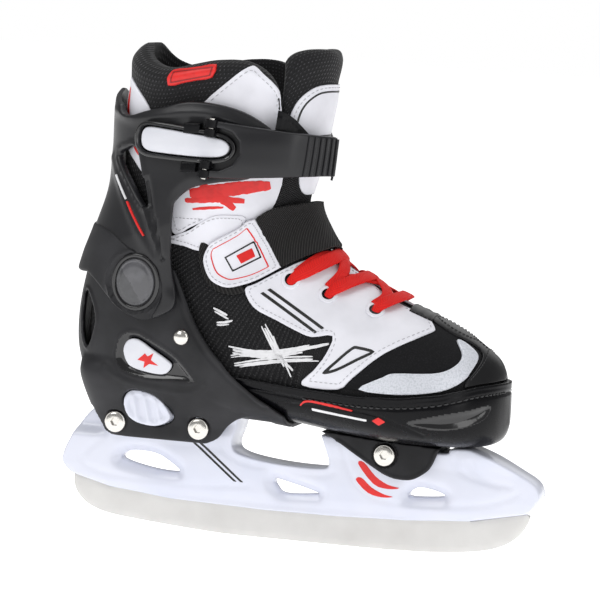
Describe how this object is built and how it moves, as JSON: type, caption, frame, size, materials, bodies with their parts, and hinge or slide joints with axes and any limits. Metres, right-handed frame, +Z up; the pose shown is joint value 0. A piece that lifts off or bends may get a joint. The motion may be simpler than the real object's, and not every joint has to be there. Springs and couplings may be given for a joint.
{
  "type": "ice skate",
  "caption": "Size-adjustable hockey-style ice skate for the right foot: steel blade in a plastic holder, sliding toe half, hinged ankle cuff with lever buckle, laces and instep strap.",
  "frame": {"origin": "middle of the flat part of the blade's running edge, where it meets the ice", "axes": "+X towards the toe, +Y towards the inner side of the foot, +Z up from the ice"},
  "size_m": [0.2723, 0.097, 0.2684],
  "materials": {
    "steel": "satin polished",
    "nickel": "bright nickel",
    "white_plastic": "glossy",
    "white_insert": "satin",
    "charcoal_plastic": "fine textured matte",
    "black_plastic": "satin",
    "grey_gloss": "glossy",
    "black_leather": "glossy",
    "white_leather": "satin with stitches",
    "reflective": "pebbled reflective",
    "black_mesh": "dotted mesh",
    "footbed_foam": "brushed",
    "webbing": "ribbed webbing",
    "red_lace": "ribbed flat lace"
  },
  "bodies": {
    "base": {"blade": "steel", "blade_holder": "white_plastic", "toe_bracket": "charcoal_plastic", "heel_shell": "charcoal_plastic", "heel_badge_outer": "white_insert", "heel_badge_inner": "white_insert", "heel_rear_bolt": "nickel", "heel_rear_nut": "nickel", "heel_front_bolt": "nickel", "heel_front_nut": "nickel", "toe_bolt": "nickel", "toe_nut": "nickel", "dome_rivet_outer": "nickel", "dome_rivet_inner": "nickel", "stretch_gusset": "black_mesh", "heel_liner": "black_mesh", "ankle_flex_zone": "black_mesh", "heel_footbed": "footbed_foam", "instep_strap": "webbing", "strap_anchor": "white_leather"},
    "toe": {"toe_cup": "black_plastic", "toe_upper": "black_mesh", "toe_footbed": "footbed_foam", "toe_cap": "black_leather", "lacing_panel_outer": "white_leather", "lacing_panel_inner": "white_leather", "toe_overlay_outer": "reflective", "toe_overlay_inner": "reflective", "lace_1": "red_lace", "lace_2": "red_lace", "lace_3": "red_lace", "eyelet_1_outer": "black_plastic", "eyelet_2_outer": "black_plastic", "eyelet_3_outer": "black_plastic", "eyelet_1_inner": "black_plastic", "eyelet_2_inner": "black_plastic", "eyelet_3_inner": "black_plastic"},
    "cuff": {"cuff": "black_plastic", "cuff_pivot_outer": "grey_gloss", "cuff_pivot_inner": "grey_gloss", "collar": "black_mesh", "tongue": "black_mesh", "buckle_base": "black_plastic", "lever_pin_lower": "nickel", "lever_pin_upper": "nickel", "ladder_strap": "black_plastic"},
    "lever": {"buckle_lever": "black_plastic"},
    "release": {"release_plate": "white_insert"},
    "size_lock": {"size_button": "white_plastic"},
    "strap_end": {"strap_tab": "white_leather"}
  },
  "joints": [
    {"name": "toe_size_slide", "type": "slide", "parent": "base", "child": "toe", "axis": [1, 0, 0], "range_m": [0, 0.02], "deforming": ["stretch_gusset"]},
    {"name": "cuff_flex", "type": "hinge", "parent": "base", "child": "cuff", "pos_m": [-0.09, 0, 0.1395], "axis": [0, 1, 0], "range_deg": [-4, 10], "stiffness_Nm_per_rad": 20, "deforming": ["ankle_flex_zone"]},
    {"name": "buckle_lever_hinge", "type": "hinge", "parent": "cuff", "child": "lever", "pos_m": [-0.0511, -0.0486, 0.2151], "axis": [-0.1025, 0, -0.9947], "range_deg": [0, 80]},
    {"name": "buckle_release_press", "type": "hinge", "parent": "cuff", "child": "release", "pos_m": [-0.044, -0.0466, 0.217], "axis": [0.1, 0, 0.995], "range_deg": [0, 2], "stiffness_Nm_per_rad": 1},
    {"name": "size_button_press", "type": "slide", "parent": "base", "child": "size_lock", "axis": [0, 1, 0], "range_m": [0, 0.002], "stiffness_N_per_m": 600},
    {"name": "strap_tab_peel", "type": "hinge", "parent": "base", "child": "strap_end", "pos_m": [-0.02, -0.029, 0.16515], "axis": [-0.5371, 0, 0.8435], "range_deg": [0, 70]}
  ]
}
